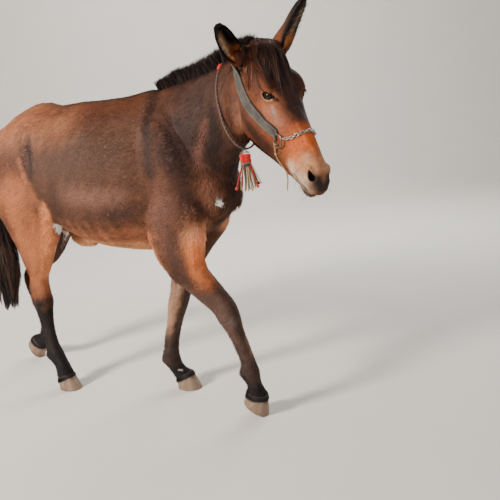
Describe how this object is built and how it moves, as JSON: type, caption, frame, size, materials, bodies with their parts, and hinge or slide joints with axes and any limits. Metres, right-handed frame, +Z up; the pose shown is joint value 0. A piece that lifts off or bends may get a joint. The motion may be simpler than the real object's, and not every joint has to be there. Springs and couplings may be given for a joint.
{
  "type": "mule",
  "caption": "Life-size standing mule, dark brown with an upright mane, head collar and a neck cord with a red tassel.",
  "frame": {"origin": "middle of the bounding box on the floor that the mule stands on", "axes": "+X towards the head along the trunk, +Y to the animal's left, +Z up"},
  "size_m": [2.1428, 0.6044, 1.6117],
  "materials": {
    "coat": "short fur, dark brown",
    "hair": "long coarse hair, nearly black",
    "horn": "hoof horn, grey-tan",
    "eye": "wet, dark brown",
    "webbing": "flat woven band, grey-brown",
    "steel": "worn bright metal",
    "tan_cord": "twisted yarn, tan",
    "dark_cord": "braided cord, dark",
    "red_yarn": "wool yarn, red"
  },
  "bodies": {
    "root": {"torso": "coat", "neck": "coat", "head": "coat", "tail": "hair", "ear_right": "coat", "ear_left": "coat", "eye_right": "eye", "eye_left": "eye", "leg_front_right": "coat", "leg_front_left": "coat", "leg_hind_right": "coat", "leg_hind_left": "coat", "hoof_front_right": "horn", "hoof_front_left": "horn", "hoof_hind_right": "horn", "hoof_hind_left": "horn", "halter_strap": "webbing", "halter_ring_right": "steel", "halter_ring_left": "steel", "halter_nose_chain": "steel", "halter_chin_cord": "tan_cord", "neck_cord": "dark_cord", "neck_cord_bead": "red_yarn", "tassel_clasp": "steel", "tassel_wrap": "red_yarn", "tassel_strands": "tan_cord"}
  },
  "joints": []
}
